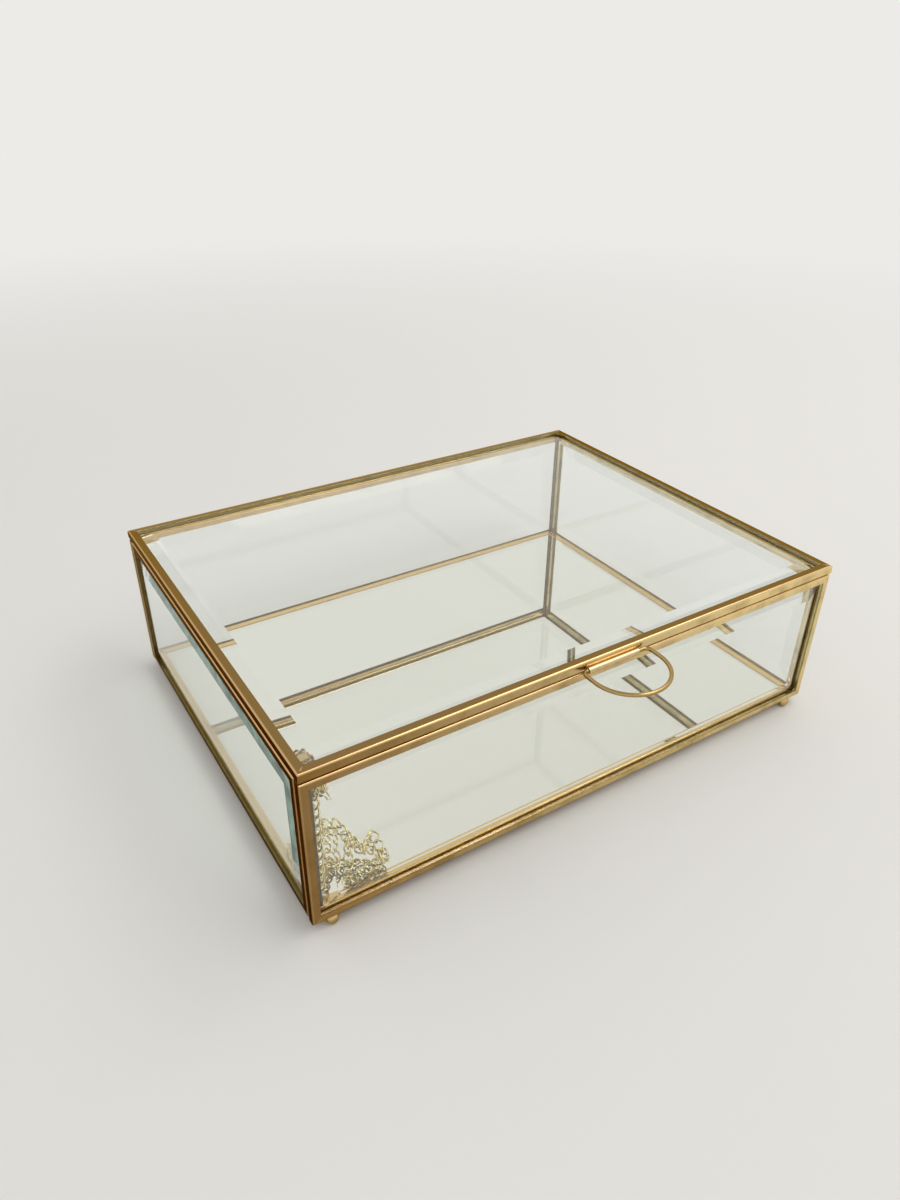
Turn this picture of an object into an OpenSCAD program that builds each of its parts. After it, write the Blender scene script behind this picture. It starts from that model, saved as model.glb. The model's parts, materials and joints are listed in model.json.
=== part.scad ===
/* [Case] */
// Outside width of the case, along the front
case_w = 220; // [160:1:300]
// Outside depth of the case, front to rear
case_d = 168; // [120:1:240]
// Height of the four framed walls, above the feet
wall_h = 57.16; // [52:0.02:72]
// Open line left between the walls and the closed lid
lid_gap = 0.25; // [0.15:0.05:0.6]

/* [Glass] */
// Thickness of every pane and of the mirror
glass_t = 3; // [2.5:0.1:4]
// Width of the ground bevel round each clear pane
bevel_w = 8; // [5:0.5:14]
// Thickness left at the edge of a bevelled pane
bevel_edge_t = 1.6; // [1:0.1:2.2]

/* [Brass channel] */
// Thickness of the brass sheet that the channels are folded from
brass_t = 0.35; // [0.25:0.05:0.5]
// Outer radius of each fold
bend_r = 0.9; // [0.7:0.05:1.2]
// Width of the channel lips on the walls
wall_lip = 2.8; // [2.2:0.1:4]
// Width of the channel lips on the lid and the base
plate_lip = 3.1; // [2.4:0.1:4]
// Play between glass and channel on each side
seat_gap = 0.03; // [0.02:0.01:0.06]

/* [Feet] */
// Diameter of the ball feet
foot_d = 4.4; // [3:0.1:8]
// Height of the cap lost where a ball is soldered to the base
foot_seat = 0.3; // [0.2:0.05:0.6]
// Height of the flat worn on the underside of each ball
foot_wear = 0.1; // [0.05:0.05:0.2]
// Foot centre from the side of the case
foot_side = 7; // [4:0.5:20]
// Foot centre from the front or rear of the case
foot_edge = 2; // [1.8:0.1:2.4]

/* [Hinges] */
// Centre of each hinge from the side of the case
hinge_inset = 32; // [20:1:60]
// Length of one knuckle
knuckle_len = 5; // [3:0.5:8]
// Outside diameter of the knuckles
knuckle_d = 2.6; // [2.4:0.1:3.4]
// Gap between neighbouring knuckles
knuckle_gap = 0.2; // [0.1:0.05:0.4]
// Diameter of the hinge pins
pin_d = 1.4; // [1:0.1:1.6]
// Running clearance round each pin
pin_play = 0.05; // [0.02:0.01:0.1]
// Thickness of the hinge leaves
leaf_t = 0.4; // [0.3:0.05:0.5]
// Height that a leaf reaches over its rail
leaf_h = 2.4; // [1.8:0.1:2.7]
// Space between the knuckles and the rear of the case
knuckle_off = 0.1; // [0.05:0.05:0.3]
// Length of the peened head on each pin end
head_len = 0.4; // [0.3:0.1:1]

/* [Handle] */
// Diameter of the handle wire
wire_d = 1.4; // [1:0.1:2]
// Half width of the loop, to the middle of the wire
loop_half_w = 13.8; // [12.5:0.1:18]
// Reach of the loop from its hinge line to the middle of the wire
loop_reach = 19.5; // [17:0.5:25]
// Radius of the two tight bends beside the sleeve
loop_bend = 2; // [1.5:0.1:3]
// Width of the folded tab that holds the loop
tab_w = 21; // [14:0.5:21.5]
// Thickness of the tab
tab_t = 0.35; // [0.25:0.05:0.5]
// Running clearance of the wire in its sleeve
sleeve_play = 0.05; // [0.02:0.01:0.1]
// Sideways place of the loop in its sleeve
loop_slide = 1; // [-1.2:0.1:1.2]
// Drop of the sleeve's middle below the lid's top
sleeve_drop = 2.6; // [2:0.1:3]
// Space between the sleeve and the lid
sleeve_off = 0.1; // [0.05:0.05:0.3]

/* [Chain] */
// Diameter of the link wire
link_wire = 0.7; // [0.5:0.05:0.75]
// Inside length of a link
link_in = 4.6; // [4.4:0.1:5]
// Outside width of a link
link_w = 3.8; // [3.2:0.1:4]
// Play between the wires of neighbouring links
link_play = 0.1; // [0.05:0.05:0.2]
// Radius of the two anchor rings, to the middle of the wire
ring_r = 1.1; // [1:0.1:1.4]
// Diameter of the stem that holds the case's ring
stem_d = 0.9; // [0.8:0.1:1.2]

/* [Solder] */
// Radius of the seams in the inner corners of the walls
seam_r = 1.2; // [0.9:0.1:2]
// Radius of the solder caps on the lid's mitres
spot_r = 1.2; // [0.8:0.1:1.6]
// Height of the solder caps
spot_t = 0.25; // [0.15:0.05:0.4]

/* [Hidden] */
$fn = 64;

// Sides of a frame and walls of the case, counted counter-clockwise from the front
FRONT = 0;
RIGHT = 1;
REAR = 2;
LEFT = 3;
UP = [0, 0, 1];
CUT = 1;

channel_t = glass_t + 2 * (seat_gap + brass_t);
pane_edge = bend_r + seat_gap;
base_w = case_w - 2 * channel_t;
base_d = case_d - 2 * channel_t;
foot_h = foot_d - foot_seat - foot_wear;
base_top = foot_h + channel_t;
wall_top = foot_h + wall_h;
lid_z = wall_top + lid_gap;
lid_top = lid_z + channel_t;

sleeve_d = wire_d + 2 * (sleeve_play + tab_t);
sleeve_y = -(sleeve_d / 2 + sleeve_off);
sleeve_z = lid_top - sleeve_drop;
front_reach = loop_reach + wire_d / 2 - sleeve_y;
hinge_y = case_d + knuckle_off + knuckle_d / 2;
hinge_z = wall_top + lid_gap / 2;
rear_reach = hinge_y + knuckle_d / 2 - case_d;
head_d = (pin_d + knuckle_d) / 2;

// Front left corner of the case, with the whole part centred over the origin
case_at = [-case_w / 2, (front_reach - rear_reach - case_d) / 2, 0];

// Chain: heading and rise in degrees and number of links of each straight run, from the case
// to the pile on the mirror. The last two runs close the way up to the lid.
pile = [
    [60, -89, 10], [45, -11, 3], [-30, 0, 3], [188, 0, 3], [58, 30, 3], [-50, -20, 3],
    [97, 30, 2], [224, 12, 2], [134, 46, 3], [244, -45, 3], [120, -36, 3], [80, -3, 3]
];
closing = [4, 9];
closing_side = [0.5, -1, 0];
strand_facing = [0, -1, 0];
case_eye_in = [6.3, 5.9];
case_eye_drop = 4.16;
lid_eye_in = [6.2, 8.6];
lid_eye_drop = 2.41;

link_pitch = link_in - link_play;
run_links = concat([for (p = pile) p[2]], closing);
case_eye = [case_eye_in[0], case_eye_in[1], wall_top - case_eye_drop];
lid_eye = [lid_eye_in[0], lid_eye_in[1], lid_z - lid_eye_drop];

function unit(v) = v / norm(v);
function across(v, d) = unit(v - d * (v * d));
function heading(az, rise) = [cos(rise) * cos(az), cos(rise) * sin(az), sin(rise)];
function pile_step(i) = pile[i][2] * link_pitch * heading(pile[i][0], pile[i][1]);
function pile_knot(i) = i == 0 ? case_eye : pile_knot(i - 1) + pile_step(i - 1);
// Where two runs of lengths la and lb meet between points a and b, out on the side given
function elbow(a, b, la, lb, side) =
    let (gap = norm(b - a), u = unit(b - a), x = (gap * gap + la * la - lb * lb) / (2 * gap))
    a + u * x + across(side, u) * sqrt(la * la - x * x);

knots = concat(
    [for (i = [0 : len(pile)]) pile_knot(i)],
    [elbow(pile_knot(len(pile)), lid_eye, closing[0] * link_pitch, closing[1] * link_pitch, closing_side)],
    [lid_eye]
);
run_dirs = [for (i = [0 : len(run_links) - 1]) unit(knots[i + 1] - knots[i])];
fold_axes = [for (i = [0 : len(run_dirs) - 2]) unit(cross(run_dirs[i], run_dirs[i + 1]))];
// A run's first link lies along the fold behind it, and its last link across the fold ahead
function run_start(i) =
    across(i == 0 ? cross(run_dirs[0], strand_facing) : fold_axes[i - 1], run_dirs[i]);
function run_end(i) =
    i < len(fold_axes) ? cross(fold_axes[i], run_dirs[i]) : cross(run_dirs[i], run_start(i));
function run_swing(i) =
    let (s = run_start(i), e = across(run_end(i), run_dirs[i]), n = cross(run_dirs[i], s))
    atan2(e * n, e * s);
function run_twist(i) =
    let (full = 90 * (run_links[i] - 1), swing = run_swing(i))
    (swing + 180 * round((full - swing) / 180)) / (run_links[i] - 1);
function link_across(i, k) =
    let (a = run_twist(i) * k, s = run_start(i))
    s * cos(a) + cross(run_dirs[i], s) * sin(a);

// A bar along u whose two edges at u = 0 are rounded, in a plane of u and thickness
module rounded_bar(length, height, radius) {
    translate([radius, 0]) square([length - radius, height]);
    translate([0, radius]) square([length, height - 2 * radius]);
    for (v = [radius, height - radius]) translate([radius, v]) circle(radius);
}

module channel_profile(lip) {
    difference() {
        rounded_bar(lip, channel_t, bend_r);
        translate([brass_t, brass_t])
            rounded_bar(lip, channel_t - 2 * brass_t, bend_r - brass_t);
    }
}

// A folded channel along X with its back at y = 0, mitred at both ends
module mitred_channel(length, lip) {
    intersection() {
        rotate([90, 0, 90]) linear_extrude(length) channel_profile(lip);
        translate([0, 0, -CUT]) linear_extrude(channel_t + 2 * CUT)
            polygon([[0, 0], [length, 0], [length - lip, lip], [lip, lip]]);
    }
}

// One channel of a w by h frame that lies on the XY plane
module frame_channel(side, w, h, lip) {
    corner = [[0, 0], [w, 0], [w, h], [0, h]];
    translate(corner[side]) rotate(90 * side)
        mitred_channel(side % 2 == 0 ? w : h, lip);
}

// Ground slope along the edge at y = 0 of a pane that lies on the XY plane
module bevel_cut(length) {
    translate([-CUT, 0, 0]) rotate([90, 0, 90]) linear_extrude(length + 2 * CUT)
        polygon([
            [-CUT, bevel_edge_t - CUT * (glass_t - bevel_edge_t) / bevel_w],
            [bevel_w, glass_t],
            [bevel_w, glass_t + CUT],
            [-CUT, glass_t + CUT]
        ]);
}

// The pane of a w by h frame, bevelled on its upper face
module bevelled_pane(w, h) {
    pane_w = w - 2 * pane_edge;
    pane_h = h - 2 * pane_edge;
    corner = [[0, 0], [pane_w, 0], [pane_w, pane_h], [0, pane_h]];
    translate([pane_edge, pane_edge, brass_t + seat_gap]) difference() {
        cube([pane_w, pane_h, glass_t]);
        for (side = [FRONT : LEFT])
            translate(corner[side]) rotate(90 * side) bevel_cut(side % 2 == 0 ? pane_w : pane_h);
    }
}

function wall_w(wall) = wall % 2 == 0 ? case_w : base_d;

// Stands a frame that lies on the XY plane up as one of the walls, its bevelled face outwards
module on_wall(wall) {
    foot = [[0, 0], [case_w, channel_t], [case_w, case_d], [0, case_d - channel_t]];
    translate(case_at + [foot[wall][0], foot[wall][1], foot_h]) rotate(90 * wall)
        translate([0, channel_t, 0]) rotate([90, 0, 0]) children();
}

module wall_channel(wall, side) {
    color("darkgoldenrod") on_wall(wall) frame_channel(side, wall_w(wall), wall_h, wall_lip);
}

module wall_pane(wall) {
    color([0.8, 0.9, 0.88, 0.35]) on_wall(wall) bevelled_pane(wall_w(wall), wall_h);
}

module lid_channel(side) {
    color("darkgoldenrod") translate(case_at + [0, 0, lid_z])
        frame_channel(side, case_w, case_d, plate_lip);
}

module lid_pane() {
    color([0.8, 0.9, 0.88, 0.35]) translate(case_at + [0, 0, lid_z]) bevelled_pane(case_w, case_d);
}

// The base frame stands inside the four walls
module base_channel(side) {
    color("darkgoldenrod") translate(case_at + [channel_t, channel_t, foot_h])
        frame_channel(side, base_w, base_d, plate_lip);
}

module base_mirror() {
    edge = channel_t + pane_edge;
    color("lightsteelblue") translate(case_at + [edge, edge, foot_h + brass_t + seat_gap])
        cube([base_w - 2 * pane_edge, base_d - 2 * pane_edge, glass_t]);
}

// Solder above the base where two walls meet at the origin, inside the case along +X and +Y:
// a hollow fillet, and the filling of the groove behind it that the fold leaves
module corner_seam() {
    linear_extrude(wall_top - base_top) {
        difference() {
            square(seam_r);
            translate([seam_r, seam_r]) circle(seam_r);
        }
        difference() {
            translate([-bend_r, 0]) square(bend_r);
            translate([-bend_r, bend_r]) circle(bend_r);
        }
    }
}

module corner_solder() {
    color("rosybrown") translate(case_at + [case_w / 2, case_d / 2, base_top])
        for (x = [0, 1], y = [0, 1]) mirror([x, 0, 0]) mirror([0, y, 0])
            translate([channel_t - case_w / 2, channel_t - case_d / 2, 0]) corner_seam();
}

// Caps of solder over the inner ends of the lid's mitres
module lid_solder() {
    inset = plate_lip - spot_r;
    color("rosybrown") translate(case_at + UP * lid_top)
        for (x = [inset, case_w - inset], y = [inset, case_d - inset])
            translate([x, y, 0]) cylinder(h = spot_t, r1 = spot_r, r2 = spot_r / 2);
}

module ball_feet() {
    color("goldenrod") translate(case_at)
        for (x = [foot_side, case_w - foot_side], y = [foot_edge, case_d - foot_edge])
            translate([x, y, 0]) intersection() {
                translate([0, 0, foot_d / 2 - foot_wear]) sphere(d = foot_d);
                translate([-foot_d, -foot_d, 0]) cube([2 * foot_d, 2 * foot_d, foot_h]);
            }
}

// Tube of a hinge, along X from x = 0
module knuckle_tube(length) {
    rotate([90, 0, 90]) cylinder(h = length, d = knuckle_d);
}

module pin_bore(length) {
    translate([-CUT, 0, 0]) rotate([90, 0, 90])
        cylinder(h = length + 2 * CUT, d = pin_d + 2 * pin_play);
}

// One knuckle with its leaf, which reaches up for the lid and down for the case
module knuckle(reach) {
    difference() {
        union() {
            knuckle_tube(knuckle_len);
            translate([0, case_d - hinge_y, min(0, reach)]) cube([knuckle_len, leaf_t, abs(reach)]);
        }
        pin_bore(knuckle_len);
    }
}

function hinge_x(side) = side == LEFT ? hinge_inset : case_w - hinge_inset;

// Puts a knuckle on the hinge line, as the first, middle or last of its hinge
module at_knuckle(side, place) {
    step = knuckle_len + knuckle_gap;
    translate(case_at + [hinge_x(side) - knuckle_len / 2 + place * step, hinge_y, hinge_z])
        children();
}

module hinge_lid_leaf(side) {
    color("peru") at_knuckle(side, 0) knuckle(lid_gap / 2 + leaf_h);
}

module hinge_case_leaf(side) {
    color("sienna") for (place = [-1, 1]) at_knuckle(side, place) knuckle(-lid_gap / 2 - leaf_h);
}

module hinge_pin(side) {
    half = 1.5 * knuckle_len + 2 * knuckle_gap;
    color("gold") translate(case_at + [hinge_x(side), hinge_y, hinge_z]) rotate([0, 90, 0]) {
        translate([0, 0, -half]) cylinder(h = 2 * half, d = pin_d);
        for (end = [-half - head_len, half]) translate([0, 0, end]) cylinder(h = head_len, d = head_d);
    }
}

module handle_tab() {
    color("goldenrod") translate(case_at + [(case_w - tab_w) / 2, sleeve_y, sleeve_z])
        difference() {
            union() {
                rotate([90, 0, 90]) cylinder(h = tab_w, d = sleeve_d);
                translate([0, -sleeve_y - tab_t, 0]) cube([tab_w, tab_t, sleeve_drop - bend_r]);
            }
            translate([-CUT, 0, 0]) rotate([90, 0, 90])
                cylinder(h = tab_w + 2 * CUT, d = wire_d + 2 * sleeve_play);
        }
}

// A round wire along Y from y = 0
module wire_run(length, diameter) {
    rotate([-90, 0, 0]) cylinder(h = length, d = diameter);
}

// The wire loop, reaching forward along -Y from its hinge line along X
module handle_loop() {
    side_len = loop_reach - loop_half_w - loop_bend;
    color("gold")
        translate(case_at + [case_w / 2 + loop_slide, sleeve_y, sleeve_z]) rotate(180) {
            translate([-loop_half_w + loop_bend, 0, 0]) rotate([0, 90, 0])
                cylinder(h = 2 * (loop_half_w - loop_bend), d = wire_d);
            for (s = [0, 1]) mirror([s, 0, 0]) {
                translate([loop_half_w - loop_bend, loop_bend, 0]) rotate(-90)
                    rotate_extrude(angle = 90) translate([loop_bend, 0]) circle(d = wire_d);
                translate([loop_half_w, loop_bend, 0]) wire_run(side_len, wire_d);
            }
            translate([0, loop_bend + side_len, 0])
                rotate_extrude(angle = 180) translate([loop_half_w, 0]) circle(d = wire_d);
        }
}

// An oval link along X, flat on the XY plane
module chain_link() {
    bend = (link_w - link_wire) / 2;
    straight = link_in - link_w + 2 * link_wire;
    for (s = [0, 1]) mirror([s, 0, 0]) translate([straight / 2, 0, 0]) rotate(-90)
        rotate_extrude(angle = 180) translate([bend, 0]) circle(d = link_wire, $fn = 24);
    for (y = [-bend, bend]) translate([-straight / 2, y, 0]) rotate([0, 90, 0])
        cylinder(h = straight, d = link_wire, $fn = 24);
}

// Places children with X along d, Y along t and Z across both
module along(at, d, t) {
    n = cross(d, t);
    multmatrix([
        [d[0], t[0], n[0], at[0]],
        [d[1], t[1], n[1], at[1]],
        [d[2], t[2], n[2], at[2]],
        [0, 0, 0, 1]
    ]) children();
}

module chain_run(i) {
    first = (link_in + link_wire) / 2;
    color("khaki") translate(case_at) for (k = [0 : run_links[i] - 1])
        along(knots[i] + run_dirs[i] * (first + k * link_pitch), run_dirs[i], link_across(i, k))
            chain_link();
}

// An upright wire ring whose plane is turned to the direction given
module anchor_ring(facing) {
    rotate(atan2(facing[1], facing[0])) rotate([90, 0, 0])
        rotate_extrude() translate([ring_r, 0]) circle(d = link_wire, $fn = 24);
}

// Wire ring on a stem and pad, soldered inside the top of the front wall
module case_chain_eye() {
    pad_w = 2.4;
    ring_at = case_eye + UP * (ring_r - link_wire - link_play);
    stem_z = ring_at[2] + ring_r - link_wire / 4;
    color("tan") translate(case_at) {
        translate(ring_at) anchor_ring(strand_facing);
        translate([ring_at[0], channel_t, stem_z]) wire_run(ring_at[1] - channel_t, stem_d);
        translate([ring_at[0] - pad_w / 2, channel_t, stem_z - stem_d / 2])
            cube([pad_w, brass_t, wall_top - bend_r - stem_z + stem_d / 2]);
    }
}

// Wire ring under a small tongue, soldered to the lip of the lid's left channel
module lid_chain_eye() {
    tongue_w = 2.6;
    tongue_end = 0.8;
    last = len(run_links) - 1;
    facing = cross(run_dirs[last], link_across(last, run_links[last] - 1));
    color("tan") translate(case_at) {
        translate([plate_lip, lid_eye[1] - tongue_w / 2, lid_z])
            cube([lid_eye[0] + tongue_end - plate_lip, tongue_w, brass_t]);
        translate(lid_eye + UP * ring_r) anchor_ring(facing);
    }
}

lid_pane();
lid_channel(FRONT);  // lid_rail_front
lid_channel(RIGHT);  // lid_rail_right
lid_channel(REAR);  // lid_rail_rear
lid_channel(LEFT);  // lid_rail_left
lid_solder();
handle_tab();
handle_loop();
lid_chain_eye();
base_mirror();
base_channel(FRONT);  // base_rail_front
base_channel(RIGHT);  // base_rail_right
base_channel(REAR);  // base_rail_rear
base_channel(LEFT);  // base_rail_left
wall_pane(FRONT);  // front_pane
wall_channel(FRONT, FRONT);  // front_rail_bottom
wall_channel(FRONT, REAR);  // front_rail_top
wall_channel(FRONT, LEFT);  // front_stile_left
wall_channel(FRONT, RIGHT);  // front_stile_right
wall_pane(RIGHT);  // right_pane
wall_channel(RIGHT, FRONT);  // right_rail_bottom
wall_channel(RIGHT, REAR);  // right_rail_top
wall_channel(RIGHT, LEFT);  // right_stile_front
wall_channel(RIGHT, RIGHT);  // right_stile_rear
wall_pane(REAR);  // rear_pane
wall_channel(REAR, FRONT);  // rear_rail_bottom
wall_channel(REAR, REAR);  // rear_rail_top
wall_channel(REAR, LEFT);  // rear_stile_right
wall_channel(REAR, RIGHT);  // rear_stile_left
wall_pane(LEFT);  // left_pane
wall_channel(LEFT, FRONT);  // left_rail_bottom
wall_channel(LEFT, REAR);  // left_rail_top
wall_channel(LEFT, LEFT);  // left_stile_rear
wall_channel(LEFT, RIGHT);  // left_stile_front
corner_solder();
ball_feet();
case_chain_eye();
hinge_lid_leaf(LEFT);  // left_hinge_lid_leaf
hinge_case_leaf(LEFT);  // left_hinge_case_leaf
hinge_pin(LEFT);  // left_hinge_pin
hinge_lid_leaf(RIGHT);  // right_hinge_lid_leaf
hinge_case_leaf(RIGHT);  // right_hinge_case_leaf
hinge_pin(RIGHT);  // right_hinge_pin
chain_run(0);  // chain_run_01
chain_run(1);  // chain_run_02
chain_run(2);  // chain_run_03
chain_run(3);  // chain_run_04
chain_run(4);  // chain_run_05
chain_run(5);  // chain_run_06
chain_run(6);  // chain_run_07
chain_run(7);  // chain_run_08
chain_run(8);  // chain_run_09
chain_run(9);  // chain_run_10
chain_run(10);  // chain_run_11
chain_run(11);  // chain_run_12
chain_run(12);  // chain_run_13
chain_run(13);  // chain_run_14
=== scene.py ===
import json
import math
import random
import bmesh
import bpy
from mathutils import Matrix, Vector, noise


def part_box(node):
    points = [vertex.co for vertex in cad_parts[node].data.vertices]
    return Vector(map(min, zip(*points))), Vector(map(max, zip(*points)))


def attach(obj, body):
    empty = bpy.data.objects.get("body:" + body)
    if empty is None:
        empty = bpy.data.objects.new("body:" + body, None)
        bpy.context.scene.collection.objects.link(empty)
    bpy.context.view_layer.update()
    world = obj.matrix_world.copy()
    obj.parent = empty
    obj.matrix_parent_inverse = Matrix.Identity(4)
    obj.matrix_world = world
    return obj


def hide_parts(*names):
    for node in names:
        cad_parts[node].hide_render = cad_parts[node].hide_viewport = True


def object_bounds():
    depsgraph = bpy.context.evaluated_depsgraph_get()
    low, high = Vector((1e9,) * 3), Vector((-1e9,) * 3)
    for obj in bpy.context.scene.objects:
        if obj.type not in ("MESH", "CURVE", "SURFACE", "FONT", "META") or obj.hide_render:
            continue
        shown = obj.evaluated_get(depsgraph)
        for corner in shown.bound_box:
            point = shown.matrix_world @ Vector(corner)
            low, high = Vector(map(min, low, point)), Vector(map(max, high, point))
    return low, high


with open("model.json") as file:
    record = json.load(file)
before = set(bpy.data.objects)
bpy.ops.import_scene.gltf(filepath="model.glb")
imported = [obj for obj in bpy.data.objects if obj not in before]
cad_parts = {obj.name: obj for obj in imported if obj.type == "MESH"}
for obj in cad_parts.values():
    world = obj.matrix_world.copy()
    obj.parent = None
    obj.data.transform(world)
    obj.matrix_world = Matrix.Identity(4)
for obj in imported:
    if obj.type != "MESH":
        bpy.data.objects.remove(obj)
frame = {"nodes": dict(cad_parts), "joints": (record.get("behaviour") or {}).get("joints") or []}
cadBox = [list(corner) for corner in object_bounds()]
nodes = frame["nodes"]
mm = 0.001
print("frame loaded:", len(nodes), "solids")


# Nodes and colours

def linear(hexColour):
    parts = [int(hexColour[i:i + 2], 16) / 255 for i in (1, 3, 5)]
    return [p / 12.92 if p <= 0.04045 else ((p + 0.055) / 1.055) ** 2.4 for p in parts] + [1]


def addNode(tree, kind, inputs=None, **settings):
    node = tree.nodes.new(kind)
    for name, value in settings.items():
        setattr(node, name, value)
    for name, value in (inputs or {}).items():
        if isinstance(value, bpy.types.NodeSocket):
            tree.links.new(value, node.inputs[name])
        else:
            node.inputs[name].default_value = value
    return node


def newMaterial(name):
    material = bpy.data.materials.new(name)
    material.use_nodes = True
    material.node_tree.nodes.clear()
    return material, material.node_tree


# Studio: camera, paper floor that fades into the backdrop, one soft lamp

cameraAt = {
    "place": (-0.17061, -0.24596, 0.22946), "heading": -32.354, "tilt": -31.558, "roll": 0.497,
    "lens": 26.64, "sensor": 36, "near": 0.01,
}
studio = {
    "paper": "#EDECE9", "paperRoughness": 0.95, "paperSheen": 0.1, "backdrop": "#ECEBE8",
    "floorHalf": 6.0, "fadeFrom": 0.3, "fadeTo": 1.2,
    "skyHigh": "#A3A09A", "skyLow": "#ECEBE8", "skyLowUpTo": 0.8, "skyHighFrom": 0.98,
    "fill": "#F4F3F1", "fillStrength": 0.76,
}
lamps = {
    "softKey": {"place": (0.62, -0.3, 1.15), "aim": (0.0, 0.0, 0.03), "size": (1.4, 0.5),
                "power": 5.5, "colour": "#FFFCF7"},
}


def addCamera(size):
    data = bpy.data.cameras.new("camera")
    data.sensor_fit = "AUTO"
    data.sensor_width = size["sensor"]
    data.lens = size["lens"]
    data.clip_start = size["near"]
    camera = bpy.data.objects.new("camera", data)
    turn = Matrix.Rotation(math.radians(size["heading"]), 4, "Z")
    turn = turn @ Matrix.Rotation(math.radians(90 + size["tilt"]), 4, "X")
    turn = turn @ Matrix.Rotation(math.radians(size["roll"]), 4, "Z")
    camera.matrix_world = Matrix.Translation(size["place"]) @ turn
    bpy.context.scene.collection.objects.link(camera)
    bpy.context.scene.camera = camera


def seenRays(tree):
    # 1 for the camera and for what is seen in metal and through glass
    path = addNode(tree, "ShaderNodeLightPath").outputs
    either = addNode(tree, "ShaderNodeMath", {0: path["Is Camera Ray"], 1: path["Is Glossy Ray"]}, operation="MAXIMUM")
    return addNode(tree, "ShaderNodeMath", {0: either.outputs[0], 1: path["Is Transmission Ray"]},
                   operation="MAXIMUM").outputs[0]


def addFloor(size):
    # Matte background paper, which fades into the colour of the backdrop away from the box
    material, tree = newMaterial("matteBackgroundPaper")
    place = addNode(tree, "ShaderNodeTexCoord").outputs["Object"]
    far = addNode(tree, "ShaderNodeVectorMath", {0: place}, operation="LENGTH")
    fade = addNode(tree, "ShaderNodeMapRange", {
        "Value": far.outputs["Value"], 1: size["fadeFrom"], 2: size["fadeTo"]}, interpolation_type="SMOOTHSTEP")
    seen = addNode(tree, "ShaderNodeMath", {0: fade.outputs[0], 1: seenRays(tree)}, operation="MULTIPLY")
    paper = addNode(tree, "ShaderNodeBsdfPrincipled", {
        "Base Color": linear(size["paper"]), "Roughness": size["paperRoughness"],
        "Specular IOR Level": size["paperSheen"]})
    backdrop = addNode(tree, "ShaderNodeEmission", {"Color": linear(size["backdrop"]), "Strength": 1})
    mix = addNode(tree, "ShaderNodeMixShader", {0: seen.outputs[0], 1: paper.outputs[0], 2: backdrop.outputs[0]})
    addNode(tree, "ShaderNodeOutputMaterial", {"Surface": mix.outputs[0]})
    bpy.ops.mesh.primitive_plane_add(size=2 * size["floorHalf"])
    floor = bpy.context.object
    floor.name = "floor"
    floor.data.materials.append(material)


def addSky(size):
    # Pale at the horizon and dimmer overhead, as a room is, so that folds and bevels show
    world = bpy.data.worlds.new("studio")
    bpy.context.scene.world = world
    world.use_nodes = True
    tree = world.node_tree
    tree.nodes.clear()
    direction = addNode(tree, "ShaderNodeTexCoord").outputs["Generated"]
    up = addNode(tree, "ShaderNodeSeparateXYZ", {0: direction}).outputs["Z"]
    ramp = addNode(tree, "ShaderNodeValToRGB", {"Fac": up})
    low, high = ramp.color_ramp.elements
    low.position, low.color = size["skyLowUpTo"], linear(size["skyLow"])
    high.position, high.color = size["skyHighFrom"], linear(size["skyHigh"])
    seen = addNode(tree, "ShaderNodeBackground", {"Color": ramp.outputs[0], "Strength": 1})
    fill = addNode(tree, "ShaderNodeBackground", {"Color": linear(size["fill"]), "Strength": size["fillStrength"]})
    mix = addNode(tree, "ShaderNodeMixShader", {0: seenRays(tree), 1: fill.outputs[0], 2: seen.outputs[0]})
    addNode(tree, "ShaderNodeOutputWorld", {"Surface": mix.outputs[0]})


def addLamp(name, size):
    data = bpy.data.lights.new(name, "AREA")
    data.shape = "RECTANGLE"
    data.size, data.size_y = size["size"]
    data.energy = size["power"]
    data.color = linear(size["colour"])[:3]
    lamp = bpy.data.objects.new(name, data)
    aim = (Vector(size["aim"]) - Vector(size["place"])).to_track_quat("-Z", "Y")
    lamp.matrix_world = Matrix.Translation(size["place"]) @ aim.to_matrix().to_4x4()
    bpy.context.scene.collection.objects.link(lamp)


addCamera(cameraAt)
addFloor(studio)
addSky(studio)
for name, size in lamps.items():
    addLamp(name, size)
bpy.context.scene.view_settings.view_transform = "Standard"
print("studio set")


# Materials

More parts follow.
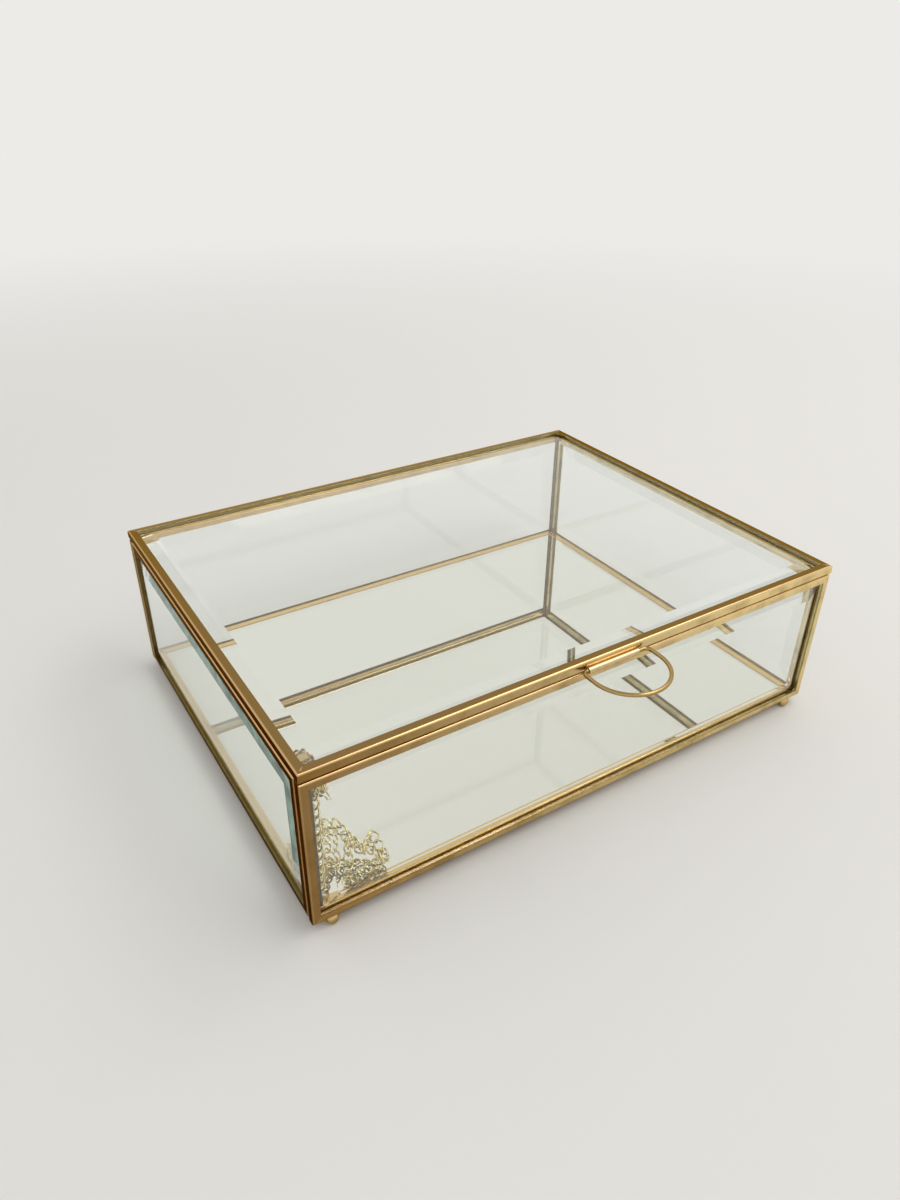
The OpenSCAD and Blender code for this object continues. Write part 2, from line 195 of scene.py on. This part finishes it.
def brass(name, size):
    # Folded sheet brass under clear lacquer: rolled lines along its length and random brown tarnish patches. Painted
    # light: darker to the left, paler to the right, a painted tone on flats that face up, a painted dark shade on the
    # outer left faces, and folds paler as rubbed brass and as a painted highlight
    material, tree = newMaterial(name)
    coords = addNode(tree, "ShaderNodeTexCoord").outputs
    place, normal = coords["Object"], coords["Normal"]
    where = addNode(tree, "ShaderNodeSeparateXYZ", {0: place}).outputs
    facing = addNode(tree, "ShaderNodeSeparateXYZ", {0: normal}).outputs

    # Darker to the left and paler to the right, painted shade and painted highlight, with random brown tarnish patches
    paintedLightAcross = addNode(tree, "ShaderNodeMapRange", {
        "Value": where["X"], 1: cadBox[0][0], 2: size["paleFrom"] * cadBox[1][0]})
    sheet = addNode(tree, "ShaderNodeMix", {
        "Factor": paintedLightAcross.outputs[0], 6: linear(size["left"]), 7: linear(size["right"])}, data_type="RGBA")
    patches = addNode(tree, "ShaderNodeTexNoise", {
        "Vector": place, "Scale": 1 / (size["patch"] * mm), "Detail": 5, "Roughness": 0.62})
    spots = addNode(tree, "ShaderNodeMapRange", {
        "Value": patches.outputs["Fac"], 1: size["patchFrom"], 2: size["patchFull"], 3: 0, 4: size["tarnished"]})
    aged = addNode(tree, "ShaderNodeMix", {
        "Factor": spots.outputs[0], 6: sheet.outputs[2], 7: linear(size["tarnish"])}, data_type="RGBA")

    # Painted light and shade: the flats that face up take the top tone, and the outer faces on the left a dark shade
    upward = addNode(tree, "ShaderNodeMapRange", {"Value": facing["Z"], 1: size["flatFrom"], 2: size["flatFull"]})
    upFlatsPainted = addNode(tree, "ShaderNodeMix", {
        "Factor": upward.outputs[0], 6: aged.outputs[2], 7: linear(size["top"])}, data_type="RGBA")
    # Painted shade: the outer faces on the left go dark brown, a painted reflection of dark surroundings
    leftward = addNode(tree, "ShaderNodeMapRange", {"Value": facing["X"], 1: -size["sideFrom"], 2: -size["sideFull"]})
    outside = addNode(tree, "ShaderNodeMath", {
        0: where["X"], 1: cadBox[0][0] + size["sideDepth"] * mm}, operation="LESS_THAN")
    side = addNode(tree, "ShaderNodeMath", {0: leftward.outputs[0], 1: outside.outputs[0]}, operation="MULTIPLY")
    leftShaded = addNode(tree, "ShaderNodeMix", {
        "Factor": side.outputs[0], 6: upFlatsPainted.outputs[2], 7: linear(size["paintedLeftShade"])}, data_type="RGBA")

    # Folds: nowhere square to the case, paler as rubbed brass, and most where they face up, a painted highlight
    squareness = addNode(tree, "ShaderNodeVectorMath", {0: normal}, operation="ABSOLUTE")
    turned = addNode(tree, "ShaderNodeSeparateXYZ", {0: squareness.outputs[0]}).outputs
    larger = addNode(tree, "ShaderNodeMath", {0: turned["X"], 1: turned["Y"]}, operation="MAXIMUM")
    largest = addNode(tree, "ShaderNodeMath", {0: larger.outputs[0], 1: turned["Z"]}, operation="MAXIMUM")
    bend = addNode(tree, "ShaderNodeMapRange", {
        "Value": largest.outputs[0], 1: size["bendFrom"], 2: size["bendFull"], 3: 0, 4: size["foldRubAndHighlight"]})
    upFoldHighlight = addNode(tree, "ShaderNodeMapRange", {
        "Value": facing["Z"], 1: 0, 2: size["upFoldHighlightFull"], 3: size["sideFoldShare"]})
    fold = addNode(tree, "ShaderNodeMath", {0: bend.outputs[0], 1: upFoldHighlight.outputs[0]}, operation="MULTIPLY")
    colour = addNode(tree, "ShaderNodeMix", {
        "Factor": fold.outputs[0], 6: leftShaded.outputs[2], 7: linear(size["fold"])}, data_type="RGBA")

    # Rolled lines
    stretch = [1 / (size["lineLength" if axis in size["along"] else "lineWidth"] * mm) for axis in "XYZ"]
    rolled = addNode(tree, "ShaderNodeMapping", {"Vector": place, "Scale": stretch})
    lines = addNode(tree, "ShaderNodeTexNoise", {"Vector": rolled.outputs[0], "Scale": 1, "Detail": 3})
    worn = addNode(tree, "ShaderNodeMapRange", {
        "Value": lines.outputs["Fac"], 3: size["roughness"][0], 4: size["roughness"][1]})
    bump = addNode(tree, "ShaderNodeBump", {
        "Height": lines.outputs["Fac"], "Strength": size["lineStrength"], "Distance": size["lineDepth"] * mm})
    body = addNode(tree, "ShaderNodeBsdfPrincipled", {
        "Base Color": colour.outputs[2], "Metallic": 1, "Specular Tint": linear(size["edgeOn"]),
        "Roughness": worn.outputs[0], "Normal": bump.outputs[0]})
    addNode(tree, "ShaderNodeOutputMaterial", {"Surface": body.outputs[0]})
    return material


def glass(name, size):
    # Clear float glass: hardly tinted through its face, with a painted green glow where light runs along inside a pane
    material, tree = newMaterial(name)
    body = addNode(tree, "ShaderNodeBsdfPrincipled", {
        "Base Color": linear(size["face"]), "Roughness": 0, "IOR": size["ior"], "Transmission Weight": 1})
    clear = addNode(tree, "ShaderNodeBsdfTransparent", {"Color": linear(size["shadow"])})
    path = addNode(tree, "ShaderNodeLightPath").outputs
    mix = addNode(tree, "ShaderNodeMixShader", {0: path["Is Shadow Ray"], 1: body.outputs[0], 2: clear.outputs[0]})

    # Light that still runs to and fro inside a pane after these turns has a long way yet to go: a painted glow in
    # the pane's edge colour, in soft streaks, stands for the rest of it
    turns = addNode(tree, "ShaderNodeMath", {
        0: path["Glossy Depth"], 1: size["trappedAfter"]}, operation="GREATER_THAN")
    inside = addNode(tree, "ShaderNodeNewGeometry").outputs["Backfacing"]
    trapped = addNode(tree, "ShaderNodeMath", {0: turns.outputs[0], 1: inside}, operation="MULTIPLY")
    place = addNode(tree, "ShaderNodeTexCoord").outputs["Object"]
    streaks = addNode(tree, "ShaderNodeTexNoise", {"Vector": place, "Scale": 1 / (size["streak"] * mm)})
    shade = addNode(tree, "ShaderNodeMapRange", {
        "Value": streaks.outputs["Fac"], 1: size["streakFrom"], 2: size["streakFull"]})
    edge = addNode(tree, "ShaderNodeMix", {
        "Factor": shade.outputs[0], 6: linear(size["paintedGlowDark"]), 7: linear(size["paintedGlowPale"])}, data_type="RGBA")
    paintedGlow = addNode(tree, "ShaderNodeEmission", {"Color": edge.outputs[2], "Strength": 1})
    whole = addNode(tree, "ShaderNodeMixShader", {0: trapped.outputs[0], 1: mix.outputs[0], 2: paintedGlow.outputs[0]})
    green = addNode(tree, "ShaderNodeVolumeAbsorption", {"Color": linear(size["depth"]), "Density": size["density"]})
    addNode(tree, "ShaderNodeOutputMaterial", {"Surface": whole.outputs[0], "Volume": green.outputs[0]})
    return material


def mirror(name, size):
    # Silvered glass: a clean reflection on top, brown backing paint below and on the edges
    material, tree = newMaterial(name)
    place = addNode(tree, "ShaderNodeTexCoord").outputs["Object"]
    height = addNode(tree, "ShaderNodeSeparateXYZ", {0: place}).outputs["Z"]
    top = addNode(tree, "ShaderNodeMath", {0: height, 1: size["faceAbove"]}, operation="GREATER_THAN")
    silver = addNode(tree, "ShaderNodeBsdfPrincipled", {
        "Base Color": linear(size["silver"]), "Metallic": 1, "Roughness": size["silverRoughness"]})
    grain = addNode(tree, "ShaderNodeTexNoise", {"Vector": place, "Scale": 1 / (size["grain"] * mm), "Detail": 3})
    bump = addNode(tree, "ShaderNodeBump", {
        "Height": grain.outputs["Fac"], "Strength": 0.3, "Distance": size["grainDepth"] * mm})
    paint = addNode(tree, "ShaderNodeBsdfPrincipled", {
        "Base Color": linear(size["paint"]), "Roughness": size["paintRoughness"], "Normal": bump.outputs[0]})
    mix = addNode(tree, "ShaderNodeMixShader", {0: top.outputs[0], 1: paint.outputs[0], 2: silver.outputs[0]})
    addNode(tree, "ShaderNodeOutputMaterial", {"Surface": mix.outputs[0]})
    return material


def linkWire(name, size):
    # Bright drawn wire with random dark grime patches; paler on top and darker underneath, a painted highlight and
    # painted shade
    material, tree = newMaterial(name)
    coords = addNode(tree, "ShaderNodeTexCoord").outputs
    upward = addNode(tree, "ShaderNodeSeparateXYZ", {0: coords["Normal"]}).outputs["Z"]
    grime = addNode(tree, "ShaderNodeTexNoise", {
        "Vector": coords["Object"], "Scale": 1 / (size["patch"] * mm), "Detail": 3})
    # Painted light: the upward normal makes the top paler and the underside darker
    lean = addNode(tree, "ShaderNodeMath", {0: upward, 1: size["paintedTopLight"]}, operation="MULTIPLY")
    uneven = addNode(tree, "ShaderNodeMath", {
        0: grime.outputs["Fac"], 1: size["uneven"], 2: lean.outputs[0]}, operation="MULTIPLY_ADD")
    tone = addNode(tree, "ShaderNodeMapRange", {
        "Value": uneven.outputs[0], 1: size["darkBelow"], 2: size["brightAbove"]})
    colour = addNode(tree, "ShaderNodeMix", {
        "Factor": tone.outputs[0], 6: linear(size["dark"]), 7: linear(size["bright"])}, data_type="RGBA")
    body = addNode(tree, "ShaderNodeBsdfPrincipled", {
        "Base Color": colour.outputs[2], "Metallic": 1, "Roughness": size["roughness"]})
    addNode(tree, "ShaderNodeOutputMaterial", {"Surface": body.outputs[0]})
    return material


# Brass sheet for the channels. Lengths are in mm; the pairs From and Full say where a tone sets in,
# on a noise or on how far a face is turned.
# The colours from left to right, on top, on the outer left and on the folds are painted light and shade, as brass()
# lays them out
sheetBrass = {
    "left": "#9C7A4C", "right": "#F6DFA8", "top": "#A98A55", "tarnish": "#80602F", "paintedLeftShade": "#3C2815",
    "fold": "#E9C690", "edgeOn": "#B79B70",
    "paleFrom": 0.6, "tarnished": 0.5, "patch": 9, "patchFrom": 0.45, "patchFull": 0.72,
    "flatFrom": 0.9, "flatFull": 0.995, "sideFrom": 0.86, "sideFull": 0.98, "sideDepth": 1.2,
    "foldRubAndHighlight": 0.75, "bendFrom": 0.97, "bendFull": 0.84, "upFoldHighlightFull": 0.4, "sideFoldShare": 0.25,
    "lineLength": 30, "lineWidth": 0.25, "lineDepth": 0.03, "lineStrength": 0.2, "roughness": (0.16, 0.34),
}
sheets = {
    "wall": sheetBrass,
    # The bottom rails of the walls are painted paler than their stiles, a painted highlight
    "sill": dict(sheetBrass, left="#B08A54"),
    # The lid is browner than the walls, and its rear rail is painted paler and yellower, a painted highlight on its
    # inside
    "lid": dict(sheetBrass, left="#93703E", top="#93764A"),
    "lidRear": dict(sheetBrass, left="#F7DAA0", right="#F9E0AC", top="#9A7D50", fold="#C8AA78",
                    edgeOn="#F6E4C0", tarnish="#C8A86E", tarnished=0.3),
    # The rear and the base are painted paler and yellower, a painted highlight on their faces inside the case
    "rear": dict(sheetBrass, left="#DDB87A", right="#E4C692", fold="#F2D9A4", edgeOn="#EAD6AC", tarnished=0.3),
    "base": dict(sheetBrass, left="#DDBC80", right="#E2C48C", top="#E6C688", edgeOn="#EAD6AC",
                 tarnished=0.3, roughness=(0.14, 0.26)),
}

# Drawn and turned brass of the feet, hinges, rings and tab: short marks and small dark spots
wireBrass = dict(sheetBrass, along="XYZ", left="#C2A26A", right="#CBAE78", top="#CDAE74", fold="#D6B984",
                 paintedLeftShade="#C2A26A", edgeOn="#EAD6AC", tarnished=0.7, patch=4, lineLength=1.2,
                 roughness=(0.16, 0.28))
drawnBrass = brass("drawnBrassWire", wireBrass)
loopBrass = brass("agedBrassLoop", dict(wireBrass, left="#A08656", right="#A98F60", top="#B59A68", fold="#C4A871",
                                        tarnish="#6E5832"))  # olive brown where fingers hold it
tabBrass = brass("foldedBrassTab", dict(wireBrass, along="X", left="#D9C093", right="#D9C093", top="#D9C093",
                                        fold="#E4CFA2", tarnish="#A9875C", tarnished=0.55, patch=2.5,
                                        lineLength=20))  # newer and paler than the channels

# Solder tinted to match brass: duller and redder than the sheet, mottled
# The solder also takes a painted dark shade on its outer left faces
castSolder = brass("brassToneSolder", dict(wireBrass, left="#A9825A", right="#CBAA7C", top="#B98F64",
                                           fold="#D2AE82", paintedLeftShade="#6B4A2C", tarnish="#75523A", patch=1.3,
                                           lineLength=0.6, roughness=(0.2, 0.42)))
seamSolder = brass("agedSeamSolder", dict(wireBrass, along="Z", left="#6F5432", right="#8C7048", top="#7A5E3A",
                                          fold="#7A5E3A", tarnish="#4A3620", patch=3, lineLength=4,
                                          roughness=(0.25, 0.45)))  # brown, as it is never wiped

clearGlass = glass("bevelledFloatGlass", {
    "face": "#FFFFFF", "shadow": "#F1F3F1", "ior": 1.52, "depth": "#63E1B1", "density": 8,
    "paintedGlowDark": "#46584F", "paintedGlowPale": "#85998E", "streak": 5, "streakFrom": 0.35, "streakFull": 0.65,
    "trappedAfter": 3.5,
})
silverGlass = mirror("silveredGlass", {
    "silver": "#EFEDE4", "silverRoughness": 0.015, "paint": "#6B5B4B", "paintRoughness": 0.6,
    "grain": 1.43, "grainDepth": 0.05, "faceAbove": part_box("base_mirror")[1][2] - 0.1 * mm,
})
chainBrass = linkWire("brightBrassWire", {
    "bright": "#FFF0B8", "dark": "#7A6230", "patch": 1.3, "uneven": 2.2, "darkBelow": 0.5, "brightAbove": 1.5,
    "paintedTopLight": 0.3, "roughness": 0.14,
})
# The same wire under the lid, where it has turned browner
agedLinks = linkWire("agedBrassWire", {
    "bright": "#E0C59A", "dark": "#6A5233", "patch": 1.3, "uneven": 2.2, "darkBelow": 0.6, "brightAbove": 1.6,
    "paintedTopLight": 0.3, "roughness": 0.18,
})
ownFinish = {
    "base_mirror": silverGlass, "corner_solder": seamSolder, "lid_solder": castSolder,
    "handle_tab": tabBrass, "handle_loop": loopBrass, "lid_chain_eye": tabBrass,
}
channelFinish = {}


def channelBrass(name):
    # One finish for each frame and each direction that a channel runs in
    low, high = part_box(name)
    reach = [high[i] - low[i] for i in range(3)]
    longest = "XYZ"[reach.index(max(reach))]
    part = name.split("_")[0]
    if name.endswith("rail_bottom"):
        part = "sill"
    elif name == "lid_rail_rear":
        part = "lidRear"
    elif part not in sheets:
        part = "wall"
    if (part, longest) not in channelFinish:
        label = "folded" + part[0].upper() + part[1:] + "BrassAlong" + longest
        channelFinish[part, longest] = brass(label, dict(sheets[part], along=longest))
    return channelFinish[part, longest]


def finishOf(name):
    if name in ownFinish:
        return ownFinish[name]
    if name.endswith("_pane"):
        return clearGlass
    if "rail" in name or "stile" in name:
        return channelBrass(name)
    return chainBrass if "chain" in name else drawnBrass


for name in nodes:
    nodes[name].data.materials.clear()
    nodes[name].data.materials.append(finishOf(name))
print("finishes on the solids")


# Check chain: twisted open links, every one the same, laid along the chain's straight runs

chain = {
    "inner": 3.6 * mm, "width": 3.7 * mm, "wire": 0.62 * mm, "play": 0.1 * mm,
    "tautPitch": 3.5 * mm, "slackPitch": 2.7 * mm, "tautRuns": (0, 12, 13),
    "wireSteps": 22, "roundSteps": 7, "twistOver": 0.4,  # the twist ends short of the link's tips
    "strayShift": 0.3 * mm, "strayTurn": 14, "seed": 7,
    "lidEyeIn": Vector((6.2, 8.6, -2.41)) * mm,  # the lid's ring, from the low corner of the lid's front rail
    "ringFacing": Vector((0, -1, 0)),  # the way that the case's ring faces
}
quarterTurn = math.pi / 2


def twistedLinkTree(size):
    tree = bpy.data.node_groups.new("twistedLinks", "GeometryNodeTree")
    wanted = {"Geometry": "Geometry", "Length": "Float", "Width": "Float", "Wire": "Float", "Twist": "Float",
              "Material": "Material"}
    for name, kind in wanted.items():
        tree.interface.new_socket(name, in_out="INPUT", socket_type="NodeSocket" + kind)
    tree.interface.new_socket("Geometry", in_out="OUTPUT", socket_type="NodeSocketGeometry")
    given = addNode(tree, "NodeGroupInput").outputs

    # An oval of wire, turned about its length more and more from end to end
    loop = addNode(tree, "GeometryNodeCurvePrimitiveCircle", {"Resolution": size["wireSteps"], "Radius": 0.5})
    around = addNode(tree, "GeometryNodeInputPosition").outputs[0]
    oval = addNode(tree, "ShaderNodeCombineXYZ", {"X": given["Length"], "Y": given["Width"]})
    flat = addNode(tree, "ShaderNodeVectorMath", {0: around, 1: oval.outputs[0]}, operation="MULTIPLY")
    along = addNode(tree, "ShaderNodeSeparateXYZ", {0: around}).outputs["X"]
    half = addNode(tree, "ShaderNodeMath", {0: given["Twist"], 1: 0.5}, operation="MULTIPLY")
    back = addNode(tree, "ShaderNodeMath", {0: given["Twist"], 1: -0.5}, operation="MULTIPLY")
    angle = addNode(tree, "ShaderNodeMapRange", {
        "Value": along, 1: -size["twistOver"], 2: size["twistOver"], 3: back.outputs[0], 4: half.outputs[0]})
    turned = addNode(tree, "ShaderNodeVectorRotate", {
        "Vector": flat.outputs[0], "Angle": angle.outputs[0]}, rotation_type="X_AXIS")
    shaped = addNode(tree, "GeometryNodeSetPosition", {"Geometry": loop.outputs[0], "Position": turned.outputs[0]})
    thick = addNode(tree, "ShaderNodeMath", {0: given["Wire"], 1: 0.5}, operation="MULTIPLY")
    profile = addNode(tree, "GeometryNodeCurvePrimitiveCircle", {
        "Resolution": size["roundSteps"], "Radius": thick.outputs[0]})
    link = addNode(tree, "GeometryNodeCurveToMesh", {"Curve": shaped.outputs[0], "Profile Curve": profile.outputs[0]})

    # One on each point, laid along and across as the point says
    axes = [addNode(tree, "GeometryNodeInputNamedAttribute", {"Name": name}, data_type="FLOAT_VECTOR").outputs[0]
            for name in ("along", "across")]
    pose = addNode(tree, "FunctionNodeAxesToRotation", {0: axes[0], 1: axes[1]}, primary_axis="X", secondary_axis="Y")
    laid = addNode(tree, "GeometryNodeInstanceOnPoints", {
        "Points": given["Geometry"], "Instance": link.outputs[0], "Rotation": pose.outputs[0]})
    real = addNode(tree, "GeometryNodeRealizeInstances", {"Geometry": laid.outputs[0]})
    smooth = addNode(tree, "GeometryNodeSetShadeSmooth", {"Geometry": real.outputs[0]})
    finish = addNode(tree, "GeometryNodeSetMaterial", {"Geometry": smooth.outputs[0], "Material": given["Material"]})
    addNode(tree, "NodeGroupOutput", {"Geometry": finish.outputs[0]})
    return tree


def layLinks(name, body, places, length, twist, size, material=chainBrass):
    # places holds a centre, the direction along and the direction across for each link
    mesh = bpy.data.meshes.new(name + "Centres")
    mesh.from_pydata([place[0] for place in places], [], [])
    for index, label in ((1, "along"), (2, "across")):
        attribute = mesh.attributes.new(label, "FLOAT_VECTOR", "POINT")
        attribute.data.foreach_set("vector", [number for place in places for number in place[index]])
    host = bpy.data.objects.new(name + "Centres", mesh)
    bpy.context.scene.collection.objects.link(host)
    modifier = host.modifiers.new("links", "NODES")
    modifier.node_group = linkTree
    values = {"Length": length, "Width": size["width"] - size["wire"], "Wire": size["wire"], "Twist": twist,
              "Material": material}
    for item in linkTree.interface.items_tree:
        if item.in_out == "INPUT" and item.name in values:
            modifier[item.identifier] = values[item.name]
    shaped = host.evaluated_get(bpy.context.evaluated_depsgraph_get())
    piece = bpy.data.objects.new(name, bpy.data.meshes.new_from_object(shaped))
    bpy.context.scene.collection.objects.link(piece)
    bpy.data.objects.remove(host)
    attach(piece, body)
    return piece


def across(direction, along):
    return (direction - along * direction.dot(along)).normalized()


def chainKnots(size):
    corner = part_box("lid_rail_front")[0]
    folds = [joint for joint in frame["joints"] if joint["name"].startswith("chain_fold")]
    knots = [Vector(fold["pos_m"]) for fold in folds] + [corner + size["lidEyeIn"]]
    return knots, [Vector(fold["axis"]) for fold in folds]


knotsOfChain, foldAxes = chainKnots(chain)


def layChain(size):
    # Each link turns through about 90 degrees inside itself and crosses the next at about 90 degrees,
    # so all links of a run lie the same way. The rest of the turn between two folds is shared out evenly.
    knots = knotsOfChain
    chance = random.Random(size["seed"])
    for i in range(len(knots) - 1):
        along = (knots[i + 1] - knots[i]).normalized()
        reach = (knots[i + 1] - knots[i]).length
        taut = i in size["tautRuns"]
        count = round(reach / size["tautPitch" if taut else "slackPitch"])
        pitch = reach / count
        length = max(size["inner"], pitch + size["play"]) + size["wire"]
        near = across(along.cross(size["ringFacing"]) if i == 0 else foldAxes[i], along)
        if i + 2 < len(knots):
            ahead = (knots[i + 2] - knots[i + 1]).normalized()
            far = across(along.cross(ahead).cross(along), along)
        else:
            far = along.cross(near)
        swing = math.degrees(math.atan2(far.dot(along.cross(near)), far.dot(near)))
        quarters = 2 * count - 1
        quarter = 90 + ((swing - 90 * quarters + 90) % 180 - 90) / quarters
        places = []
        for k in range(count):
            turn = Matrix.Rotation(math.radians(quarter * (2 * k + 0.5)), 3, along)
            centre = knots[i] + along * (pitch / 2 + size["wire"] / 2 + k * pitch)
            crosswise = turn @ near
            if not taut:
                centre = centre + Vector([chance.uniform(-1, 1) for axis in "xyz"]) * size["strayShift"]
                lean = math.radians(chance.uniform(-1, 1) * size["strayTurn"])
                stray = Matrix.Rotation(lean, 3, along.cross(crosswise))
                places.append((centre, stray @ along, stray @ crosswise))
            else:
                places.append((centre, along, crosswise))
        run = layLinks(f"chainRun{i + 1:02d}", f"chain_{i + 1:02d}", places, length, math.radians(quarter), size)
        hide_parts(f"chain_run_{i + 1:02d}")


linkTree = twistedLinkTree(chain)
layChain(chain)
print("chain laid")


# The ends of the chain are wound round their rings in small bunches. Each link: where it lies from the
# ring in mm, its heading and its rise in degrees, and how far it is rolled over.

caseBunch = {
    "at": knotsOfChain[0], "inner": 2.9 * mm, "width": 3.2 * mm,
    "links": (
        ((0.9, 0.5, -1.2), 60, -60, 20), ((1.9, 0.2, -2.6), -20, -50, 70), ((0.5, 1.2, -3.2), 100, -60, 10),
        ((1.8, 0.8, -4.3), 30, -75, 50), ((2.8, 0.3, -5.0), -40, -35, 110), ((0.9, 0.6, -5.7), 80, -50, 0),
        ((2.0, 1.2, -6.3), 10, -20, 60), ((3.2, 0.8, -6.6), 50, -60, 90), ((1.2, 1.4, -7.2), 130, -40, 40),
    ),
}
lidBunch = {
    "at": knotsOfChain[-1], "inner": 2.7 * mm, "width": 3.0 * mm,
    "links": (
        ((0.0, 1.8, 0.2), 80, 5, 40), ((1.3, 2.4, -0.3), 35, -30, 80), ((-1.2, 3.0, -0.6), 110, -10, 20),
        ((0.4, 3.6, 0.3), -35, 15, 130), ((1.9, 3.9, -0.8), 10, -45, 65), ((-0.6, 4.6, 0.0), 60, 20, 100),
        ((1.0, 5.2, -0.4), 150, -25, 10), ((-1.6, 5.0, -1.2), 20, 10, 75), ((2.4, 2.0, -1.4), 95, -35, 0),
        ((0.2, 2.6, -2.0), -60, -20, 50),
    ),
}
looseEnd = {
    "wire": 0.5 * mm, "roundSteps": 3,
    "points": ((2.4, 0.4, -7.4), (3.2, 0.3, -6.6), (4.0, 0.2, -8.0), (4.6, 0.2, -9.8)),
}


def bunch(name, body, size, material):
    places = []
    for offset, heading, rise, roll in size["links"]:
        pose = Matrix.Rotation(math.radians(heading), 3, "Z")
        pose = pose @ Matrix.Rotation(math.radians(-rise), 3, "Y") @ Matrix.Rotation(math.radians(roll), 3, "X")
        places.append((size["at"] + Vector(offset) * mm, pose @ Vector((1, 0, 0)), pose @ Vector((0, 1, 0))))
    length = size["inner"] + chain["wire"]
    layLinks(name, body, places, length, quarterTurn, dict(chain, width=size["width"]), material)


def addLooseEnd(size):
    curve = bpy.data.curves.new("looseWireEnd", "CURVE")
    curve.dimensions = "3D"
    spline = curve.splines.new("NURBS")
    spline.points.add(len(size["points"]) - 1)
    for point, offset in zip(spline.points, size["points"]):
        point.co = [*(knotsOfChain[0] + Vector(offset) * mm), 1]
    spline.order_u = 4
    spline.use_endpoint_u = True
    curve.bevel_depth = size["wire"] / 2
    curve.bevel_resolution = size["roundSteps"]
    curve.use_fill_caps = True
    line = bpy.data.objects.new("looseWireCurve", curve)
    bpy.context.scene.collection.objects.link(line)
    mesh = bpy.data.meshes.new_from_object(line.evaluated_get(bpy.context.evaluated_depsgraph_get()))
    bpy.data.objects.remove(line)
    end = bpy.data.objects.new("looseWireEnd", mesh)
    bpy.context.scene.collection.objects.link(end)
    mesh.materials.clear()
    mesh.materials.append(chainBrass)
    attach(end, "case")


bunch("caseEndLinks", "case", caseBunch, chainBrass)
bunch("lidEndLinks", "lid", lidBunch, agedLinks)
addLooseEnd(looseEnd)
print("chain ends wound on")


# Solder: smears over the mitres, and beads where the frames meet

solderDrop = {"fineness": 3, "lump": 0.3, "lumpsAcross": 1.6, "shift": 0.37}


def blob(shape, centre, reach, turn, floor=None):
    # An uneven drop of solder: centre and half sizes in mm from the case's low front left corner
    drop = bmesh.ops.create_icosphere(shape, subdivisions=solderDrop["fineness"], radius=1)["verts"]
    spin = Matrix.Rotation(math.radians(turn), 3, "Z")
    for vert in drop:
        spot = vert.co * solderDrop["lumpsAcross"] + Vector(centre) * solderDrop["shift"]
        swell = 1 + solderDrop["lump"] * noise.noise(spot)
        spread = spin @ Vector([vert.co[i] * swell * reach[i] for i in range(3)])
        vert.co = caseCorner + (Vector(centre) + spread) * mm
        if floor is not None:
            vert.co.z = max(vert.co.z, caseCorner.z + floor * mm)


def solderPiece(name, body, blobs, replaced=None):
    shape = bmesh.new()
    for each in blobs:
        blob(shape, *each)
    mesh = bpy.data.meshes.new(name)
    shape.to_mesh(mesh)
    shape.free()
    for face in mesh.polygons:
        face.use_smooth = True
    piece = bpy.data.objects.new(name, mesh)
    bpy.context.scene.collection.objects.link(piece)
    mesh.materials.append(castSolder)
    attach(piece, body)
    if replaced:
        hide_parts(replaced)


caseCorner = Vector((*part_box("lid_rail_front")[0][:2], 0))
caseReach = [(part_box("lid_rail_rear")[1][i] - caseCorner[i]) / mm for i in range(2)]
lidTop, wallTop, baseTop = [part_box(name)[1][2] / mm for name in ("lid_rail_front", "front_rail_top", "base_rail_front")]
corners = ((0, 0, 45), (caseReach[0], 0, 135), (*caseReach, 225), (0, caseReach[1], 315))


def inward(corner, distance):
    # A point that far in along the corner's mitre
    x, y, turn = corner
    return x + distance * math.cos(math.radians(turn)), y + distance * math.sin(math.radians(turn))


# "from" is how far in along the mitre a drop lies, "half" its half sizes and "skin" how deep it is cut flat

mitreSmear = {"from": 2.7, "half": (1.5, 0.32, 0.18), "sink": 0.12, "skin": 0.1}
tabSmear = {"right": {"in": 0.5, "down": 0.7, "half": (1.3, 0.3, 0.6)},
            "left": {"in": 0.6, "down": 0.6, "half": (0.9, 0.26, 0.4)}, "proud": 0.15}
cornerBead = {"from": 0.95, "down": 0.85, "half": (0.5, 0.5, 0.7)}
baseSmear = {"from": 7.4, "half": (2.2, 1.1, 0.26), "skin": 0.1}

lidDrops = [((*inward(corner, mitreSmear["from"]), lidTop - mitreSmear["sink"]), mitreSmear["half"], corner[2],
             lidTop - mitreSmear["skin"]) for corner in corners]
tabLow, tabHigh = [[(corner[i] - caseCorner[i]) / mm for i in range(3)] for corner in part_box("handle_tab")]
for side, x, way in (("right", tabHigh[0], -1), ("left", tabLow[0], 1)):
    size = tabSmear[side]
    lidDrops.append(((x + way * size["in"], -tabSmear["proud"], tabHigh[2] - size["down"]), size["half"], 0))
solderPiece("lidMitreSolder", "lid", lidDrops, "lid_solder")

caseDrops = [((*inward(corner, cornerBead["from"]), wallTop - cornerBead["down"]), cornerBead["half"], 0)
             for corner in corners]
caseDrops += [((*inward(corner, baseSmear["from"]), baseTop), baseSmear["half"], corner[2], baseTop - baseSmear["skin"])
              for corner in corners]
solderPiece("caseSolderBeads", "case", caseDrops)
print("solder run on")
